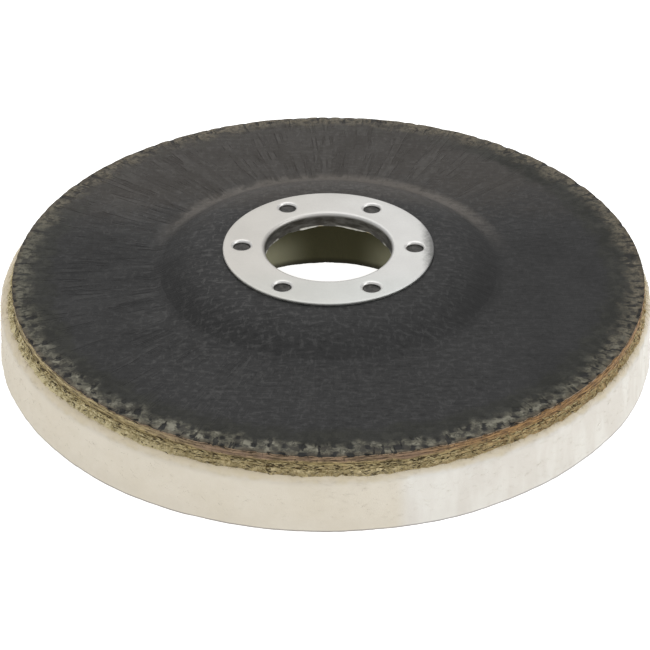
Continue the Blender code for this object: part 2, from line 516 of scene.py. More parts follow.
# ---------------------------------------------------------------- materials
class FacingFinish(Finish):
    """Black cloth soaked in resin. At the rim it is rubbed grey on the crests of the glass under it."""

    thread_dark, thread_light = tint(0.0040, 0.0040, 0.0044), tint(0.0175, 0.0173, 0.0170)
    thread_pale, thread_gap = grey(0.034), tint(0.0015, 0.0015, 0.002)
    # Painted highlight and painted shadow for the creases.
    crease_pale, crease_dark, lint = tint(0.075, 0.074, 0.071), grey(0.001), tint(0.070, 0.068, 0.065)
    # Painted shade for the hub's slope and for the flanks.
    bare_slope, clean_flank = grey(0.002), tint(0.003, 0.003, 0.0032)
    resin_ring = tint(0.0044, 0.0047, 0.0010)
    # Painted sheen for the hub's bend and for its slope behind.
    bend_dust, hub_dust = tint(0.150, 0.134, 0.117), tint(0.074, 0.064, 0.055)
    # Paler brown for the back: partly dust, partly painted sheen.
    back_dust = tint(0.064, 0.053, 0.042)
    # Darker valleys, partly resin and partly painted shade; a painted highlight for the swells.
    valley_resin, rubbed_swell = grey(0.002), tint(0.040, 0.040, 0.039)
    faint_crest = tint(0.046, 0.046, 0.034)
    rubbed_front, rubbed_back = tint(0.144, 0.136, 0.098), tint(0.176, 0.149, 0.102)
    rubbed_thin, dark_cell = tint(0.036, 0.033, 0.022), tint(0.022, 0.019, 0.014)
    pale_cell = tint(0.272, 0.258, 0.198)
    # Painted shade for the rim's front right.
    rubbed_corner, brown_brink = tint(0.030, 0.026, 0.015), tint(0.112, 0.086, 0.052)
    # Painted shadow for the slits across the worn rim.
    glass_gap, slit_dark = tint(0.003, 0.0026, 0.002), tint(0.002, 0.0018, 0.0015)
    hole_dust_dark, hole_dust_light = tint(0.020, 0.019, 0.017), tint(0.070, 0.066, 0.060)
    cut_laminate = colour(146, 124, 100)

    def __init__(self):
        super().__init__("black_cloth")
        self.radius = self.from_axis(self.at)
        grain = {"Vector": self.at, "Coarse": 0.13, "Fine": 1.0, "Fine Share": 0.5}
        self.grain = self.group(GRAIN, grain)[0]
        self.dashes_x = self.noise(self.stretched(self.at, 0.55, 1.25, 0.0), 1.0, 4.0, 0.65)
        dashes_y = self.noise(self.stretched(self.at, 1.25, 0.55, 0.0), 1.0, 4.0, 0.65)
        self.dashes = self.math("MAXIMUM", self.dashes_x, dashes_y)
        self.drawn = self.between(self.less(self.times(self.y, 0.8), self.x), -35.0, 25.0, 0.15, 1.0)
        self.uneven = self.times_plus(self.noise(self.at, 0.33, 4.0, 0.6), 6.0, self.radius)
        self.crest = self.between(self.z, RIM - 0.16, RIM - 0.03)
        self.thin = self.noise(self.at, 1.5, 4.0, 0.7)
        self.spots = self.noise(self.at, 0.55, 3.0)
        # Painted shadow in the creases, with a painted highlight beside each.
        lines = self.group(CREASES, {"Vector": self.at, "Along": 0.08, "Scale": 0.5})
        creased = self.times(self.between(self.radius, FOOT - 3.0, FOOT + 2.0, 0.15, 1.0), self.drawn)
        self.dark_line = self.times(lines["Dark"], creased)
        self.pale_line = self.times(lines["Pale"], creased, 0.45)
        slits = {"Vector": self.at, "Around": 38.0, "Along": 0.16, "Scale": 1.35}
        self.slit = self.between(self.group(CREASES, slits)["Value"], 0.41, 0.37)

    def woven(self):
        """Threads of uneven tone, with dark gaps, and creases that run out from the hub, with painted shadow
        in each and a painted highlight beside it.
        """
        cloth = self.blend(self.grain, self.thread_dark, self.thread_light)
        cloth = self.blend(self.between(self.dashes, 0.52, 0.66, 0.0, 0.7), cloth, self.thread_pale)
        cloth = self.blend(self.between(self.dashes_x, 0.50, 0.36, 0.0, 0.85), cloth, self.thread_gap)
        # Painted highlight beside each crease.
        cloth = self.blend(self.pale_line, cloth, self.crease_pale)
        lint = self.times(self.between(self.dashes, 0.53, 0.68, 0.0, 0.6), self.drawn)
        cloth = self.blend(lint, cloth, self.lint)
        # Painted shadow in each crease.
        return self.blend(self.dark_line, cloth, self.crease_dark)

    def on_hub(self, cloth):
        """The hub's slope is painted darker at its sides, as painted shade, and a painted sheen lies behind
        it and in its bend.
        """
        sides = self.between(self.size(self.x), 17.0, 27.0)
        # Painted shade on the sides of the hub's slope.
        slope = self.times(
            self.between(self.radius, 22.0, 27.5),
            self.between(self.radius, FOOT + 1, FOOT - 2),
            sides,
            0.6,
        )
        cloth = self.blend(slope, cloth, self.bare_slope)
        # Painted sheen in the bend at the back of the hub.
        bend = self.times(
            self.between(self.radius, FOOT - 2.6, FOOT - 0.6),
            self.between(self.radius, FOOT + 2.4, FOOT + 0.3),
            self.between(self.y, 2.0, 26.0, 0.0, 0.8),
            self.between(self.dashes, 0.38, 0.58, 0.45, 1.0),
        )
        cloth = self.blend(bend, cloth, self.bend_dust)
        # Painted sheen on the hub's slope behind it.
        behind = self.times(
            self.between(self.radius, FOOT + 1, FOOT - 1),
            self.between(self.y, 12.0, 22.0, 0.0, 0.4),
            self.between(self.dashes, 0.40, 0.60, 0.3, 1.0),
        )
        return self.blend(behind, cloth, self.hub_dust)

    def on_swells(self, cloth):
        """Valleys are darker, partly resin and partly painted shade, and swells are paler as a painted
        highlight. This shows outside the hub's slope only.
        """
        swell = self.times(
            self.between(self.z, RIM - 0.09, RIM + 0.05, -0.5, 0.5),
            self.between(self.radius, FOOT - 0.3, FOOT + 0.8),
            self.drawn,
        )
        # Valleys: partly resin, partly painted shade.
        cloth = self.blend(self.between(swell, 0.0, -0.5, 0.0, 0.7), cloth, self.valley_resin)
        # Swells: painted highlight.
        return self.blend(self.between(swell, 0.0, 0.5, 0.0, 0.4), cloth, self.rubbed_swell)

    def dusted(self, cloth):
        """Paler brown at the back, partly dust and partly painted sheen; painted shade on the flanks; and a
        darker ring lies inside the worn rim.
        """
        # Paler brown towards the back: partly dust, partly painted sheen.
        away = self.less(self.y, self.times(self.x, 0.10))
        away = self.plus(away, self.times(self.grain, 14.0))
        cloth = self.blend(self.between(away, 14.0, 40.0, 0.0, 0.42), cloth, self.back_dust)
        # Painted shade on the flanks.
        flank = self.times(
            self.between(self.size(self.x), 18.0, 40.0, 0.0, 0.6),
            self.between(self.y, 24.0, 4.0),
        )
        cloth = self.blend(flank, cloth, self.clean_flank)
        rearward = self.less(self.y, self.times(self.x, 0.35))
        ring = self.times(
            self.between(self.uneven, EDGE - 5.0, EDGE - 2.2), self.between(rearward, 24.0, 44.0, 0.95, 0.0)
        )
        cloth = self.blend(ring, cloth, self.resin_ring)
        faint = self.times(
            self.between(self.uneven, EDGE - 4.6, EDGE - 2.0),
            self.crest,
            self.between(self.spots, 0.48, 0.60, 0.0, 0.24),
        )
        return self.blend(faint, cloth, self.faint_crest)

    def rubbed_yarns(self):
        """Crests of the glass mesh: browner behind, in pale and dark cells in front, brown at the brink, with
        painted shade at the front right.
        """
        backward = self.times_plus(self.x, 0.45, self.y)
        rubbed = self.blend(self.between(backward, -24.0, 18.0), self.rubbed_front, self.rubbed_back)
        rubbed = self.blend(self.between(self.thin, 0.34, 0.60), self.rubbed_thin, rubbed)
        front = self.between(self.y, -14.0, -38.0, 0.06, 1.0)
        pale_spots = self.times(self.between(self.spots, 0.53, 0.62), front, 0.9)
        rubbed = self.blend(pale_spots, rubbed, self.pale_cell)
        rubbed = self.blend(self.between(self.spots, 0.47, 0.39, 0.0, 0.8), rubbed, self.dark_cell)
        # Painted shade at the front right.
        corner = self.times(self.between(self.x, 8.0, 38.0), self.between(self.y, -8.0, -32.0, 0.0, 0.2))
        rubbed = self.blend(corner, rubbed, self.rubbed_corner)
        brink = self.between(self.radius, EDGE - 1.1, EDGE - 0.2, 0.0, 0.55)
        return self.blend(brink, rubbed, self.brown_brink)

    def worn_rim(self):
        """Rubbed yarns with black gaps between them, and painted shadow in slits that run outwards."""
        worn = self.blend(self.crest, self.glass_gap, self.rubbed_yarns())
        # Painted shadow in the slits.
        return self.blend(self.times(self.slit, 0.9), worn, self.slit_dark)

    def worn_share(self):
        """How much of the worn rim shows. The band starts more softly away from the front."""
        softer = self.between(self.y, -36.0, -10.0)
        starts = self.less(EDGE - 1.1, self.times(softer, 0.5))
        full = self.plus(EDGE + 1.5, self.times(softer, 1.3))
        return self.between(self.uneven, starts, full)

    def on_edges(self, cloth):
        """The cut edge shows brown laminate, and grey dust has gathered in the ring's punched holes."""
        cut = self.times(
            self.between(self.upward(), 0.55, 0.25),
            self.between(self.z, RIM - 0.04, RIM - 0.16),
            self.between(self.radius, EDGE - 1.2, EDGE - 0.8),
            self.between(self.thin, 0.34, 0.5),
        )
        cloth = self.blend(cut, cloth, self.cut_laminate)
        in_holes = self.between(self.radius, RING_RADIUS / MM - 0.4, RING_RADIUS / MM - 0.8)
        dust = self.blend(self.between(self.dashes, 0.45, 0.65), self.hole_dust_dark, self.hole_dust_light)
        return self.blend(in_holes, cloth, dust)

    def whole(self):
        cloth = self.dusted(self.on_swells(self.on_hub(self.woven())))
        band = self.worn_share()
        cloth = self.on_edges(self.blend(self.times(band, 0.88), cloth, self.worn_rim()))
        weave = self.group(WEAVE, {"Vector": self.at, "Pitch": 0.62})[0]
        relief = self.times_plus(self.dashes, 2.2, self.times(weave, 0.4))
        relief = self.less(relief, self.times(self.dark_line, 3.0))
        relief = self.less(relief, self.times(self.slit, band, 4.0))
        self.bump(relief, 0.00004, 0.9)
        return self.coat(cloth, self.between(self.grain, 0.0, 1.0, 0.52, 0.66), specular=0.38)


def laminate_material():
    """Cut edge of the pressed plies: tan and pinkish, orange on one side and creamy on the other."""
    paint = Finish("glass_laminate")
    layers = paint.noise(paint.stretched(paint.at, 0.55, 0.55, 3.2), 1.0, 4.0, 0.7)
    patches = paint.noise(paint.at, 0.22, 3.0)
    strands = paint.between(layers, 0.36, 0.64)
    side = paint.blend(strands, colour(84, 68, 50), colour(152, 129, 101))
    side = paint.blend(paint.between(patches, 0.42, 0.60, 0.0, 0.7), side, colour(136, 112, 94))
    orange = paint.blend(strands, colour(100, 71, 38), colour(168, 130, 80))
    side = paint.blend(paint.between(paint.x, 5.0, 32.0, 0.0, 0.85), side, orange)
    cream = paint.blend(strands, colour(112, 98, 64), colour(192, 176, 132))
    side = paint.blend(paint.between(paint.x, -14.0, -36.0, 0.0, 0.9), side, cream)
    olive = paint.blend(strands, colour(96, 82, 50), colour(176, 158, 112))
    low = paint.between(paint.plus(paint.z, paint.times(patches, 1.2)), RIM - 0.35, RIM - 0.95)
    low = paint.times(low, paint.between(paint.x, 8.0, 34.0, 1.0, 0.25))
    side = paint.blend(low, side, olive)
    specks = paint.noise(paint.at, 1.9, 4.0, 0.7)
    side = paint.blend(paint.between(specks, 0.56, 0.66, 0.0, 0.85), side, colour(58, 46, 30))
    faces = tint(0.03, 0.027, 0.022)
    finished = paint.blend(paint.between(paint.upward(), 0.75, 0.95), side, faces)
    paint.bump(layers, 0.00006, 0.8)
    return paint.coat(finished, paint.between(layers, 0.2, 0.8, 0.55, 0.8), specular=0.35)


def olive_material(name, dark, light, scale, woven=0.0):
    """Resin-soaked glass and glue: dark in the pits, yellowish on the lumps, creamy on one side, and darker
    just above the felt, partly resin and partly painted shade.
    """
    paint = Finish(name)
    lumps = paint.noise(paint.at, scale, 5.0, 0.65)
    threads = paint.group(WEAVE, {"Vector": paint.at, "Pitch": COARSE_PITCH / MM})[0]
    lumps = paint.mix(woven, lumps, paint.between(threads, 0.0, 1.0, 0.3, 0.66))
    patches = paint.noise(paint.at, scale * 0.3, 3.0)
    mixed = paint.times_plus(lumps, 0.7, paint.times(patches, 0.3))
    finished = paint.blend(paint.between(mixed, 0.40, 0.60), dark, light)
    # Darker just above the felt: partly dark resin, partly painted shade.
    fringe = paint.times(
        paint.between(paint.z, BED + 0.35, BED + 0.05),
        paint.between(lumps, 0.47, 0.56),
        0.8,
    )
    finished = paint.blend(fringe, finished, colour(84, 70, 40))
    creamy = paint.blend(paint.between(mixed, 0.34, 0.52), colour(140, 126, 84), colour(218, 206, 164))
    finished = paint.blend(paint.between(paint.x, -14.0, -38.0, 0.0, 0.9), finished, creamy)
    tanned = paint.blend(paint.between(mixed, 0.38, 0.58), colour(98, 74, 42), colour(184, 150, 98))
    finished = paint.blend(paint.between(paint.x, 8.0, 34.0, 0.0, 0.6), finished, tanned)
    paint.bump(lumps, 0.00012, 0.8)
    return paint.coat(finished, paint.between(lumps, 0.3, 0.7, 0.7, 0.4), specular=0.4)


def felt_material():
    """Dense wool felt: warm off-white, stained where the glue soaked in, and dark inside its bore, partly
    glue stain and partly painted shade.
    """
    paint = Finish("wool_felt")
    x, y, z = paint.x, paint.y, paint.z
    grain = paint.group(GRAIN, {"Vector": paint.at, "Coarse": 0.10, "Fine": 0.9, "Fine Share": 0.3})[0]
    wool = paint.blend(grain, colour(212, 204, 188), colour(218, 211, 197))
    # The felt is a little paler and streaked on one side, past a soft edge in its outer wall.
    angle = paint.math("ARCTAN2", x, paint.times(y, -1.0))
    paler = paint.times(paint.between(angle, 0.18, 0.23), paint.between(angle, 2.6, 2.2), 0.85)
    streaks = paint.noise(paint.stretched(paint.at, 0.3, 0.3, 0.08), 1.0, 3.0)
    pale_wool = paint.blend(paint.between(streaks, 0.35, 0.65), colour(217, 213, 206), colour(227, 225, 219))
    wool = paint.blend(paler, wool, pale_wool)
    # Glue has soaked into the top of the wall. Faces that look up are painted paler, as painted light, and
    # the foot is painted grey, as a painted contact shadow.
    soaked = paint.times_plus(paint.noise(paint.at, 0.45, 4.0, 0.6), 2.6, z)
    soaked = paint.between(soaked, BED + 0.2, BED + 1.5)
    wall = paint.blend(paint.times(soaked, 0.7), wool, colour(196, 182, 142))
    # Painted light on faces that look up.
    wall = paint.blend(paint.between(paint.upward(), 0.3, 0.8, 0.0, 0.6), wall, colour(226, 214, 192))
    # Painted contact shadow along the foot.
    wall = paint.blend(paint.times(paint.between(z, 0.42, 0.2), 0.75), wall, colour(122, 118, 120))
    # Inside the bore it is dark, partly glue stain and partly painted shade; low down at the sides it is
    # paler, as painted light; and at the very bottom darker, as a painted shadow.
    # Painted light on the bore's sides, low down.
    sideways = paint.between(paint.size(paint.less(x, 1.3)), 3.5, 14.5)
    sideways = paint.times(sideways, paint.between(z, 9.0, 2.5))
    bore = paint.blend(sideways, colour(63, 62, 44), colour(149, 149, 127))
    # Painted shadow at the bottom of the bore.
    bore = paint.blend(paint.times(paint.between(z, 1.5, 0.3), 0.8), bore, colour(30, 28, 22))
    inside = paint.between(paint.from_axis(paint.at), FELT_BORE / MM + 1.6, FELT_BORE / MM + 0.3)
    paint.bump(paint.noise(paint.at, 2.6, 6.0, 0.75), 0.00008, 0.45)
    return paint.coat(paint.blend(inside, wall, bore), 0.95, specular=0.1)


def fibre_material(name, shade):
    """Loose fibres, mottled between this shade and a darker one."""
    paint = Finish(name)
    darker = tint(*(c * 0.7 for c in shade[:3]))
    return paint.coat(paint.blend(paint.noise(paint.at, 0.8, 2.0), darker, shade), 0.8)


def collar_steel(paint):
    """The inside of the collar, painted dark grey as a painted reflection of the shaded bore, with painted
    glints along its torn end.
    """
    streaks = paint.noise(paint.stretched(paint.at, 0.5, 0.5, 1.6), 1.0, 4.0, 0.6)
    streaks = paint.between(streaks, 0.35, 0.70)
    # Painted reflection of the shaded bore: dark grey.
    dark = paint.blend(streaks, tint(0.046, 0.043, 0.037), tint(0.108, 0.105, 0.097))
    torn = paint.between(paint.z, COLLAR_END / MM + 0.40, COLLAR_END / MM + 0.10, 0.0, 0.8)
    glints = paint.between(paint.noise(paint.at, 0.33, 2.0), 0.47, 0.60)
    # Painted glints along the torn end.
    return paint.blend(paint.times(torn, glints), dark, tint(0.75, 0.74, 0.69))


def steel_material():
    """Stamped steel sheet: satin and faintly mottled, and painted dark down inside its collar, a painted
    reflection of the shaded bore.
    """
    paint = Finish("stamped_steel")
    radius = paint.from_axis(paint.at)
    grain = paint.group(GRAIN, {"Vector": paint.at, "Coarse": 0.16, "Fine": 3.5, "Fine Share": 0.45})[0]
    rolled = paint.noise(paint.stretched(paint.at, 0.5, 12.0, 0.5), 1.0, 3.0)
    tone = paint.blend(grain, tint(0.62, 0.617, 0.60), tint(0.70, 0.697, 0.68))
    # A thin yellowish film lies on one side of the flange, and its front is painted a little darker, as
    # painted shade.
    tone = paint.blend(paint.between(paint.x, 16.0, -16.0), tone, tint(0.88, 0.857, 0.825), "MULTIPLY")
    tone = paint.blend(paint.between(paint.y, -6.0, -15.0), tone, tint(0.94, 0.965, 0.965), "MULTIPLY")
    specks = paint.noise(paint.at, 1.3, 5.0, 0.7)
    tone = paint.blend(paint.between(specks, 0.66, 0.74, 0.0, 0.35), tone, tint(0.36, 0.34, 0.31))
    # One edge of the flange is darker: partly a grey smudge, partly painted shade where the edge bends down.
    smudge = paint.times_plus(specks, 2.0, paint.x)
    tone = paint.blend(paint.between(smudge, 16.9, 19.2, 0.0, 0.88), tone, tint(0.14, 0.14, 0.137))
    # Punching polished the holes' flared mouths, so they are a little smoother, and they are painted paler as
    # a painted highlight.
    mouth = paint.times(
        paint.between(paint.upward(), 0.96, 0.85),
        paint.between(radius, 13.0, 13.3),
        paint.between(radius, RING_RADIUS / MM - 0.6, RING_RADIUS / MM - 0.9),
    )
    # Painted highlight on the holes' mouths.
    tone = paint.blend(mouth, tone, tint(0.80, 0.79, 0.77))
    # Down inside the collar the steel is painted dark, a painted reflection of the shaded bore.
    inside = paint.between(radius, BORE_RADIUS / MM + 0.75, BORE_RADIUS / MM + 0.4)
    below = paint.between(paint.z, RING_TOP / MM - 0.35, RING_TOP / MM - 0.8)
    tone = paint.blend(paint.times(inside, below), tone, collar_steel(paint))
    scuffed = paint.times_plus(grain, 0.12, paint.between(rolled, 0.2, 0.8, 0.33, 0.43))
    paint.bump(paint.plus(grain, rolled), 0.00002, 0.35)
    return paint.coat(tone, paint.times(scuffed, paint.mix(mouth, 1.0, 0.8)), metallic=1.0)


# ---------------------------------------------------------------- the plate's cloth
def yarn_ridges(across, along, width, seed):
    """Ridges that parallel yarns raise as they go over and under, from -1 between them to about 1."""
    shifts = np.random.default_rng(seed).normal(0, 0.09, 64)
    index = np.round(across).astype(int)
    offset = across - index - shifts[index % 64]
    profile = np.sqrt(np.maximum(1 - (offset / width) ** 2, 0))
    sway = np.cos(math.pi * (along + index))
    return np.where(profile > 0, -0.4 + 0.85 * profile + 0.4 * sway, -1.0)


def glass_relief(x, y):
    """How the woven glass under the cloth stands out: -1 in its gaps and 1 on its highest crests."""
    theta = np.arctan2(y, x)
    column, row = x / GLASS_PITCH + 0.18, y / GLASS_PITCH + 0.37
    column = column + 0.25 * noise_at(y / (6 * MM), x / (9 * MM), 201)
    row = row + 0.25 * noise_at(x / (6 * MM), y / (9 * MM), 202)
    warp = yarn_ridges(column, row, 0.23 + 0.17 * np.abs(np.sin(theta)), 203)
    weft = yarn_ridges(row, column + 1, 0.23 + 0.17 * np.abs(np.cos(theta)), 204)
    fluff = 0.3 * rough_noise(x / (1.5 * MM), y / (1.5 * MM), 205)
    fill = 0.3 * rough_noise(x / (1.1 * MM), y / (1.1 * MM), 206) - 0.8
    return np.clip(np.maximum(np.maximum(warp, weft), fill) + fluff, -1, 1)


def wrinkles(radius, theta):
    """Fine radial creases where the cloth was drawn in round the hub: narrow valleys, soft swells between."""
    wander = 1.6 * around_noise(theta, 30, 11, radius / (12 * MM)) * MM / radius
    swell = around_noise(theta + wander, 88, 13, radius / (15 * MM))
    line = around_noise(theta + wander, 74, 12, radius / (19 * MM))
    fine_line = around_noise(theta - wander, 150, 14, radius / (9 * MM))
    valleys = -np.exp(-((line / 0.17) ** 2)) - 0.6 * np.exp(-((fine_line / 0.2) ** 2))
    broken = smooth_step(-0.5, 0.3, around_noise(theta + wander, 60, 16, radius / (5 * MM)))
    reach = smooth_step(HUB_FOOT - 2.5 * MM, HUB_FOOT + 1.5 * MM, radius)
    reach = reach * (1 - 0.9 * smooth_step(HUB_FOOT + 11 * MM, HUB_FOOT + 19 * MM, radius))
    drawn = smooth_step(-35 * MM, 25 * MM, radius * (0.8 * np.sin(theta) - np.cos(theta)))
    places = smooth_step(-0.5, 0.5, around_noise(theta, 11, 15))
    return (0.45 * swell + 0.75 * valleys * broken) * reach * (0.6 + 0.4 * places) * (0.15 + 0.85 * drawn)


def plate_line(radii, depth):
    """The plate's section at this depth, as points at these radii."""
    return [(radius, float(plate_height(radius, depth))) for radius in radii]


def facing_mesh():
    """The cloth: drawn over the hub, creased round it, and sunk between the glass yarns at the rim."""
    dome = np.arange(PLATE_BORE, HUB_FOOT - 1 * MM, 0.85 * MM)
    creased = np.arange(HUB_FOOT - 1 * MM, PLATE_RADIUS - 7 * MM, 0.6 * MM)
    outer = np.linspace(PLATE_RADIUS - 7 * MM, PLATE_RADIUS, 32)
    radii = np.concatenate([dome, creased, outer])
    section = plate_line(radii, 0.0) + plate_line(radii[::-6], FACING_SHEET)
    is_top = (np.arange(len(section)) < len(radii))[:, None]

    def shape(radius, theta, height):
        x, y = radius * np.cos(theta), radius * np.sin(theta)
        patchy = rough_noise(x / (3.2 * MM), y / (3.2 * MM), 31)
        band_start = PLATE_RADIUS - WORN_BAND + 1.1 * MM * patchy
        bared = smooth_step(band_start, band_start + 3.2 * MM, radius)
        glass = glass_relief(x, y)
        front = smooth_step(-0.2, 0.9, -np.sin(theta))
        relief = (glass - 0.5) * (0.006 + (0.06 + 0.10 * front) * bared) * MM
        lumps = rough_noise(x / (2.3 * MM), y / (2.3 * MM), 21) * (0.02 + 0.05 * bared) * MM
        creases = wrinkles(radius, theta) * 0.16 * MM
        clear_of_ring = smooth_step(RING_RADIUS + 0.2 * MM, RING_RADIUS + 1.5 * MM, radius)
        at_edge = smooth_step(PLATE_RADIUS - 0.9 * MM, PLATE_RADIUS, radius)
        shift = (relief + lumps + creases) * clear_of_ring - 0.06 * MM * at_edge
        ragged = 0.35 * around_noise(theta, 420, 42)
        torn = np.clip(0.3 - 0.45 * glass + ragged, 0, 1)
        pull = at_edge * torn * (0.1 + 0.4 * front) * MM
        return radius - pull, height + is_top * shift

    return turned_mesh("facing_cloth", section, FACING_STEPS, shape)


def build_facing():
    place("facing_cloth", facing_mesh(), FacingFinish().whole(), "black_cloth", "black_facing")


# ---------------------------------------------------------------- the plate's glass plies
# Inside its edge a ply is hidden, so that its section needs few points there.
HIDDEN_RADII = [*np.arange(PLATE_BORE, HUB_FOOT + 1 * MM, 0.8 * MM), PLATE_RADIUS - 1.5 * MM]


def ply_mesh(name, node_name, seed):
    """One pressed ply: hidden but for its rim and its bore. Only its rim is worked."""
    depth_top = HUB_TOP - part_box(node_name)[1].z
    depth_bottom = depth_top + FINE_SHEET
    edge_top, edge_bottom = RIM_TOP - depth_top + BOND_LINE / 2, RIM_TOP - depth_bottom - BOND_LINE / 2
    section = plate_line(HIDDEN_RADII, depth_top)
    for share, cut in ((0, 0.03), (0.25, 0.006), (0.5, 0), (0.75, 0.006), (1, 0.03)):
        section.append((PLATE_RADIUS - cut * MM, edge_top - share * (edge_top - edge_bottom)))
    section += plate_line(HIDDEN_RADII[::-1], depth_bottom)

    def shape(radius, theta, height):
        at_rim = smooth_step(PLATE_RADIUS - 1 * MM, PLATE_RADIUS - 0.2 * MM, radius)
        uneven = around_noise(theta, 240, seed, height / (0.5 * MM)) * 0.09 * MM
        broad = around_noise(theta, 40, seed + 1) * 0.05 * MM
        fine = around_noise(theta, 520, seed + 2, height / (0.15 * MM)) * 0.07 * MM
        return radius + at_rim * (uneven + broad + fine), height

    return turned_mesh(name, section, PLY_STEPS, shape)


def build_plies():
    laminate = laminate_material()
    for i in range(3):
        name, node_name = f"pressed_ply_{i + 1}", f"glass_ply_{i + 1}"
        place(name, ply_mesh(name, node_name, 70 + 5 * i), laminate, "glass_laminate", node_name)


def coarse_mesh():
    """The glue-side ply, with a ragged edge that stands a little proud."""
    depth = HUB_TOP - COARSE_HIGH.z
    section = plate_line(HIDDEN_RADII, depth)
    section += [
        (PLATE_RADIUS, COARSE_LOW.z + COARSE_SHEET + BOND_LINE / 2),
        (PLATE_RADIUS + 0.1 * MM, COARSE_LOW.z + COARSE_SHEET * 0.6),
        (PLATE_RADIUS + 0.1 * MM, COARSE_LOW.z + COARSE_SHEET * 0.3),
        (PLATE_RADIUS - 0.1 * MM, COARSE_LOW.z),
    ]
    section += plate_line(HIDDEN_RADII[::-1], depth + COARSE_SHEET)

    def shape(radius, theta, height):
        at_rim = smooth_step(PLATE_RADIUS - 1 * MM, PLATE_RADIUS - 0.4 * MM, radius)
        uneven = around_noise(theta, 300, 91, height / (0.4 * MM)) * 0.16 * MM
        return radius + at_rim * uneven, height

    return turned_mesh("coarse_mesh_body", section, PLY_STEPS, shape)


def chords(line_at, inner, outer):
    """The stretches of a straight line at this distance from the axis that lie between two circles."""
    if abs(line_at) >= outer:
        return []
    end = math.sqrt(outer**2 - line_at**2)
    if abs(line_at) >= inner:
        return [(-end, end)]
    start = math.sqrt(inner**2 - line_at**2)
    return [(-end, -start), (start, end)]


def yarn_paths(along, phase, swing, seed):
    """The coarse mesh's yarns along one axis, where they show at its edge. They rise and fall by swing."""
    random = np.random.default_rng(seed)
    pitch, inner, outer = COARSE_PITCH, PLATE_RADIUS - 3 * MM, PLATE_RADIUS + 0.12 * MM
    middle = COARSE_LOW.z + COARSE_SHEET * 0.45
    paths = []
    count = int(outer / pitch) + 2
    for i in range(-count, count + 1):
        line_at = phase[0] + i * pitch + random.normal(0, 0.04) * pitch
        for start, end in chords(line_at, inner, outer):
            start, end = start + random.uniform(0, 0.12) * pitch, end - random.uniform(0, 0.12) * pitch
            if end - start < pitch / 2:
                continue
            run = np.linspace(start, end, max(4, int((end - start) / YARN_STEP)))
            beat = (run - phase[1]) / pitch * math.pi
            side = line_at + 0.04 * pitch * noise_at(run / pitch, run * 0 + i, seed + 5)
            x, y = (run, side) if along == "x" else (side, run)
            paths.append(np.stack([x, y, middle + swing * np.cos(beat + math.pi * i)], axis=-1))
    return paths


def build_coarse_mesh():
    """The glue-side mesh: its yarn ends stand out of a dark, resin-soaked edge."""
    soaked = olive_material("coarse_glass_mesh", colour(122, 106, 70), colour(184, 166, 123), 1.3, 0.45)
    place("coarse_mesh_body", coarse_mesh(), soaked, "coarse_glass_mesh", "coarse_mesh_ply")
    paths = yarn_paths("x", (0.7 * MM, 0.2 * MM), 0.12 * MM, 101)
    paths += yarn_paths("y", (0.2 * MM, 0.7 * MM), -0.12 * MM, 111)
    mesh = tubes_mesh("mesh_yarn_ends", paths, [0.9 * MM] * len(paths), [0.42 * MM] * len(paths))
    yarn = olive_material("glass_yarn", colour(136, 120, 82), colour(204, 190, 150), 1.8)
    place("mesh_yarn_ends", mesh, yarn, "coarse_glass_mesh")


def edge_bit(random):
    """One bit of yarn in the resin: its path, its width and its height."""
    theta = random.uniform(0, TURN)
    length = random.uniform(0.25, 1.1) * MM
    lean = random.normal(0, 0.22)
    low = random.uniform(-0.02, 1.5) * MM
    share = np.linspace(-0.5, 0.5, 5)
    angle = theta + share * length / PLATE_RADIUS
    above_bed = low + share * length * lean
    reach = np.interp(above_bed / MM, (0.0, 0.26, 0.55, 1.6), (0.70, 0.36, 0.10, 0.03)) * MM
    reach = reach + glue_spread(angle) * np.interp(above_bed / MM, (0.0, 0.26, 0.55), (0.95, 0.7, 0.2))
    radius = PLATE_RADIUS + reach + random.uniform(-0.05, 0.05) * MM
    path = round_path(radius, angle, FELT_TOP + above_bed - felt_drop(radius, angle))
    taper = np.sqrt(1 - (1.8 * share) ** 2)
    width = random.uniform(0.10, 0.24) * MM * taper
    height = random.uniform(0.07, 0.17) * MM * taper
    return path, width, height


EDGE_BITS = (
    ("pale_yarn_bits", 2600, colour(204, 188, 142)),
    ("dark_resin_bits", 1500, colour(78, 64, 38)),
)


def build_edge_bits():
    """Short bits of glass yarn set in the resin along the plate's lower edge."""
    random = np.random.default_rng(171)
    for name, amount, shade in EDGE_BITS:
        bits = [edge_bit(random) for _ in range(amount)]
        place(name, tubes_mesh(name, *zip(*bits), sides=5), fibre_material(name, shade), "coarse_glass_mesh")


# ---------------------------------------------------------------- glue
def felt_drop(radius, theta):
    """How far the felt's soft upper edge has fallen at this place."""
    from_felt_axis = np.hypot(radius * np.cos(theta) - FELT_OFFSET.x, radius * np.sin(theta))
    over = np.clip(from_felt_axis - (FELT_RADIUS - FELT_TAPER - FELT_SOFT), 0, 0.97 * FELT_SOFT)
    return FELT_SOFT - np.sqrt(FELT_SOFT**2 - over**2)


def glue_spread(theta):
    """How much further than its usual reach the glue ran, on each side of the wheel."""
    front = np.clip(-np.sin(theta), 0, 1)
    left, right = smooth_step(0.2, -0.95, np.cos(theta)), smooth_step(0.0, 0.7, np.cos(theta))
    spread = around_noise(theta, 70, 121) * 0.16 + around_noise(theta, 210, 122) * 0.15
    spread += around_noise(theta, 520, 123) * 0.13
    return (spread + 0.12 * front + 0.28 * left - 0.30 * right) * MM


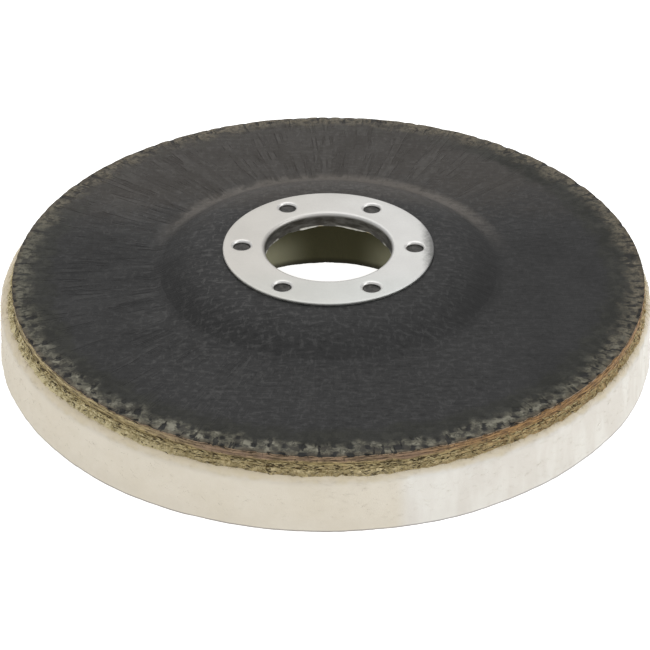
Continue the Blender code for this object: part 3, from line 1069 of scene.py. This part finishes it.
def glue_mesh():
    """The bead of glue squeezed out on the felt's ledge, with an uneven, pitted edge."""
    bed = FELT_TOP
    outline = [
        (GLUE_INNER, GLUE_HIGH.z),
        (PLATE_RADIUS - 0.5 * MM, GLUE_HIGH.z),
        (PLATE_RADIUS + 0.1 * MM, GLUE_HIGH.z + 0.1 * MM),
        (PLATE_RADIUS + 0.38 * MM, bed + 0.26 * MM),
        (PLATE_RADIUS + 0.75 * MM, bed + 0.04 * MM),
        (PLATE_RADIUS + 0.7 * MM, bed - 0.1 * MM),
        (GLUE_INNER, bed - 0.02 * MM),
    ]
    # The bed itself is hidden, so only the bead keeps its close points.
    hidden_end = PLATE_RADIUS - 0.6 * MM
    section = [
        point for point in dense(outline, 0.12 * MM)
        if point[0] > hidden_end or point[0] == GLUE_INNER
    ]

    def shape(radius, theta, height):
        out = smooth_step(PLATE_RADIUS - 0.2 * MM, PLATE_RADIUS + 0.7 * MM, radius)
        pits = around_noise(theta, 520, 124, radius / (0.4 * MM))
        lumps = around_noise(theta, 330, 125, radius / (0.6 * MM))
        above = smooth_step(bed + 0.02 * MM, bed + 0.15 * MM, height)
        lift = (lumps * 0.10 - smooth_step(0.25, 0.8, pits) * 0.2) * MM * above
        reach = radius + out * glue_spread(theta)
        return reach, np.maximum(height + out * lift, bed - 0.15 * MM) - felt_drop(reach, theta)

    return turned_mesh("glue_bead", section, GLUE_STEPS, shape)


def build_glue():
    bead = olive_material("dried_glue", colour(136, 119, 77), colour(220, 203, 158), 1.6)
    place("glue_bead", glue_mesh(), bead, "dried_glue", "glue_layer")


# ---------------------------------------------------------------- felt
def felt_mesh():
    """The felt ring: soft edges, a slightly uneven wall, and a narrower top where it was glued."""
    shoulder = (FELT_RADIUS - FELT_TAPER - FELT_SOFT, FELT_TOP - FELT_SOFT)
    outline = [(FELT_BORE, FELT_TOP), (PLATE_RADIUS - 2 * MM, FELT_TOP)]
    outline += arc_points(shoulder, FELT_SOFT, 0, 90, 8)
    outline += arc_points((FELT_RADIUS - FELT_FOOT, FELT_FOOT), FELT_FOOT, 90, 180, 6)
    outline.append((FELT_BORE, 0))
    section = dense(outline, 0.7 * MM)

    def shape(radius, theta, height):
        x, y = radius * np.cos(theta), radius * np.sin(theta)
        wall = smooth_step(PLATE_RADIUS, FELT_RADIUS - 0.5 * MM, radius)
        bore = 1 - smooth_step(FELT_BORE, FELT_BORE + 1 * MM, radius)
        broad = around_noise(theta, 26, 131, height / (9 * MM)) * 0.13
        middle = around_noise(theta, 140, 132, height / (2.5 * MM)) * 0.06
        fine = around_noise(theta, 480, 133, height / (0.7 * MM)) * 0.03
        soft_wall = (broad + middle + fine) * (wall + bore) * MM
        soft_wall = soft_wall + 0.15 * MM * wall * smooth_step(2.5 * MM, 0.3 * MM, height)
        top_side = smooth_step(FELT_TOP - 0.3 * MM, FELT_TOP, height)
        dents = rough_noise(x / (2 * MM), y / (2 * MM), 135) * 0.07 * MM
        under = (1 - smooth_step(0, 0.3 * MM, height)) * np.abs(rough_noise(x / (3 * MM), y / (3 * MM), 136))
        return radius + soft_wall, height + top_side * dents + under * 0.08 * MM

    return turned_mesh("felt_body", section, FELT_STEPS, shape)


def build_felt():
    felt = place("felt_body", felt_mesh(), felt_material(), "wool_felt", "felt_ring", at=FELT_OFFSET)


def wool_fibre(random):
    """One loose fibre on the felt: its path and its width, which tapers."""
    theta = random.uniform(0, TURN)
    height = random.uniform(0.3, 9.9) * MM if random.random() < 0.7 else random.uniform(9.2, 10.0) * MM
    length = random.uniform(0.5, 1.8) * MM
    tilt = random.uniform(-0.6, 0.6)
    lift = random.uniform(0.04, 0.28) * MM
    share = np.linspace(0, 1, 6)
    bend = np.sin(share * math.pi)
    along = (share - 0.5) * length
    curl = random.normal(0, 0.15) * MM
    angle = theta + (along * math.cos(tilt) + curl * bend * math.sin(tilt)) / FELT_RADIUS
    z = height + along * math.sin(tilt) + curl * bend
    edge = np.clip(z - (FELT_TOP - FELT_SOFT), 0, 0.97 * FELT_SOFT)
    radius = FELT_RADIUS - FELT_TAPER * z / FELT_TOP - 0.05 * MM + lift * bend
    radius = radius - (FELT_SOFT - np.sqrt(FELT_SOFT**2 - edge**2))
    path = round_path(radius, angle, np.clip(z, 0.1 * MM, FELT_TOP + 0.1 * MM))
    return path, random.uniform(0.02, 0.045) * MM * (1 - 0.7 * share)


def glass_fibre(random):
    """One frayed fibre that hangs from the plate's edge: its path and its width, which tapers."""
    theta = random.uniform(0, TURN)
    start = random.uniform(FELT_TOP + 0.2 * MM, RIM_TOP - 1.4 * MM)
    share = np.linspace(0, 1, 6)
    reach = random.uniform(0.3, 1.5) * MM
    swerve = random.normal(0, 0.6) * MM
    radius = PLATE_RADIUS - 0.1 * MM + reach * share
    drop = (start - FELT_TOP - 0.03 * MM) * share ** random.uniform(0.6, 2.0)
    angle = theta + swerve * share**1.5 / PLATE_RADIUS
    return round_path(radius, angle, start - drop), random.uniform(0.04, 0.10) * MM * (1 - 0.6 * share)


def fibres_mesh(name, fibre, amount, seed, sides):
    """This many fibres, each with its own random shape."""
    random = np.random.default_rng(seed)
    paths, widths = zip(*[fibre(random) for _ in range(amount)])
    return tubes_mesh(name, paths, widths, widths, sides)


def build_felt_fuzz():
    """Loose wool on the felt's wall and on its upper edge."""
    mesh = fibres_mesh("felt_fuzz", wool_fibre, 2600, 141, 3)
    place("felt_fuzz", mesh, fibre_material("wool_fibre", colour(228, 221, 208)), "wool_felt", at=FELT_OFFSET)


def build_rim_fibres():
    """Frayed glass fibres that hang over the ledge between the plate's edge and the felt."""
    mesh = fibres_mesh("frayed_glass", glass_fibre, 1500, 151, 4)
    place("frayed_glass", mesh, fibre_material("frayed_glass", colour(176, 162, 118)), "coarse_glass_mesh")


# ---------------------------------------------------------------- arbor ring
def punch_mesh():
    """A cutter with a flared mouth, so that it leaves a hole whose rim is drawn down."""
    top, under = RING_TOP, RING_TOP - RING_SHEET
    flare_centre = (HOLE_RADIUS + HOLE_FLARE, top - HOLE_FLARE)
    side = arc_points(flare_centre, HOLE_FLARE, 0, -72, 6)
    outer = [(HOLE_RADIUS + HOLE_FLARE, top + 0.5 * MM)] + side + [(side[-1][0], under - 0.5 * MM)]
    steps = PUNCH_STEPS
    points = [(0, 0, outer[0][1]), (0, 0, outer[-1][1])]
    for radius, height in outer:
        for i in range(steps):
            angle = TURN * i / steps
            points.append((radius * math.cos(angle), radius * math.sin(angle), height))
    faces = []
    last = 2 + (len(outer) - 1) * steps
    for i in range(steps):
        after = (i + 1) % steps
        faces.append((0, 2 + i, 2 + after))
        faces.append((1, last + after, last + i))
        for near in range(2, last, steps):
            far = near + steps
            faces.append((near + i, far + i, far + after, near + after))
    return mesh_from("punch", points, faces)


def ring_mesh():
    """The stamped ring: flat flange, lip rolled into the bore, collar with an uneven torn edge."""
    top, bore, edge_round = RING_TOP, BORE_RADIUS, RING_EDGE_ROUND
    lip = (bore + LIP_RADIUS, top - LIP_RADIUS)
    outline = arc_points(lip, LIP_RADIUS, -90, 0, 12)
    outline += arc_points((RING_RADIUS - edge_round, top - edge_round), edge_round, 0, 90, 5)
    outline.append((RING_RADIUS - 0.03 * MM, top - RING_SHEET))
    outline += arc_points(lip, LIP_RADIUS - RING_SHEET, 0, -90, 8)
    outline += [(bore + RING_SHEET, COLLAR_END + 0.1 * MM), (bore + RING_SHEET - 0.12 * MM, COLLAR_END)]
    outline += [(bore + 0.1 * MM, COLLAR_END), (bore, COLLAR_END + 0.1 * MM)]

    def shape(radius, theta, height):
        torn = smooth_step(COLLAR_END + 1.1 * MM, COLLAR_END, height)
        edge = around_noise(theta, 22, 161) * 0.28 + around_noise(theta, 70, 162) * 0.12
        flare = around_noise(theta, 16, 163) * 0.07
        flat = smooth_step(bore + 2 * MM, bore + 3 * MM, radius)
        bow = -0.05 * MM * smooth_step(RING_RADIUS - 2.5 * MM, RING_RADIUS, radius) ** 2
        x, y = radius * np.cos(theta), radius * np.sin(theta)
        dents = noise_at(x / (5 * MM), y / (5 * MM), 164) * 0.012 * MM
        return radius + torn * flare * MM, height + torn * edge * MM + flat * dents + bow

    return turned_mesh("stamped_ring", dense(outline, 0.4 * MM), RING_STEPS, shape)


def apply_modifiers(piece):
    """The piece's mesh as its modifiers leave it, with no modifier left."""
    graph = bpy.context.evaluated_depsgraph_get()
    made = bpy.data.meshes.new_from_object(piece.evaluated_get(graph))
    piece.modifiers.clear()
    piece.data = made


def build_ring():
    """The ring, with its holes punched midway between the lip and the edge."""
    ring = place("stamped_ring", ring_mesh(), steel_material(), "stamped_steel", "arbor_ring")
    punch = punch_mesh()
    circle = (BORE_RADIUS + LIP_RADIUS + RING_RADIUS) / 2
    cutters = []
    for i in range(HOLES):
        angle = FIRST_HOLE + TURN * i / HOLES
        cutter = bpy.data.objects.new(f"punch_{i + 1}", punch)
        bpy.context.scene.collection.objects.link(cutter)
        cutter.location = (circle * math.cos(angle), circle * math.sin(angle), 0)
        cut = ring.modifiers.new(cutter.name, "BOOLEAN")
        cut.object = cutter
        cut.operation = "DIFFERENCE"
        cut.solver = "EXACT"
        cutters.append(cutter)
    apply_modifiers(ring)
    for cutter in cutters:
        bpy.data.objects.remove(cutter)
    ring.data.shade_smooth()
    ring.data.set_sharp_from_angle(angle=math.radians(38))


# ---------------------------------------------------------------- studio
def build_floor():
    """A pale table, lit from below like a light table, so that it stays white round the wheel."""
    paint = Finish("pale_table")
    tone = paint.blend(paint.noise(paint.at, 0.02, 2.0), tint(0.50, 0.50, 0.495), tint(0.53, 0.53, 0.525))
    glow = {"Emission Color": tint(1, 0.995, 0.985), "Emission Strength": 0.98}
    paint.fill(paint.shader.inputs, glow)
    size = FLOOR_REACH
    corners = [(-size, -size, 0), (size, -size, 0), (size, size, 0), (-size, size, 0)]
    mesh = mesh_from("pale_table", corners, [(0, 1, 2, 3)])
    mesh.materials.append(paint.coat(tone, 0.9, specular=0.0))
    floor = bpy.data.objects.new("pale_table", mesh)
    floor.location.z = FLOOR_LEVEL
    bpy.context.scene.collection.objects.link(floor)


def add_light(name, at, size, power, light_colour=(1, 1, 1)):
    """A rectangular light that faces the wheel."""
    data = bpy.data.lights.new(name, "AREA")
    data.shape = "RECTANGLE"
    data.size, data.size_y = size
    data.energy = power
    data.color = light_colour
    lamp = bpy.data.objects.new(name, data)
    lamp.location = at
    lamp.rotation_euler = (Vector((0, 0, RIM_TOP)) - Vector(at)).to_track_quat("-Z", "Y").to_euler()
    bpy.context.scene.collection.objects.link(lamp)


def build_studio():
    scene = bpy.context.scene
    world = bpy.data.worlds.new("studio")
    world.use_nodes = True
    sky = world.node_tree.nodes["Background"].inputs
    sky["Color"].default_value = grey(1.0)
    sky["Strength"].default_value = SKY_STRENGTH
    scene.world = world
    scene.view_settings.view_transform = "Standard"
    scene.view_settings.look = "None"
    add_light("overhead", (0.0, 0.25, 1.0), (1.2, 1.2), 4.3)
    add_light("back_softbox", (-0.3, 1.30, 0.85), (1.3, 0.8), 1.6, (1.0, 0.97, 0.94))
    add_light("side_softbox", (1.1, -0.15, 0.75), (0.7, 0.7), 2.5)


def build_camera():
    """The camera looks down at the wheel from the front, along a line just under its hub."""
    target = Vector((0, 0, RIM_TOP))
    back = Vector((0, -math.cos(CAMERA_ELEVATION), math.sin(CAMERA_ELEVATION)))
    data = bpy.data.cameras.new("camera")
    data.sensor_width = 36
    data.lens = FOCAL * data.sensor_width
    camera = bpy.data.objects.new("camera", data)
    camera.location = target + back * CAMERA_DISTANCE
    pitch = CAMERA_ELEVATION + AXIS_ABOVE_CENTRE
    camera.rotation_euler = (math.pi / 2 - pitch, 0, AXIS_RIGHT_OF_CENTRE)
    bpy.context.scene.collection.objects.link(camera)
    bpy.context.scene.camera = camera


build_camera()
build_studio()
build_floor()
build_facing()
build_plies()
build_coarse_mesh()
build_glue()
build_edge_bits()
build_felt()
build_felt_fuzz()
build_rim_fibres()
build_ring()
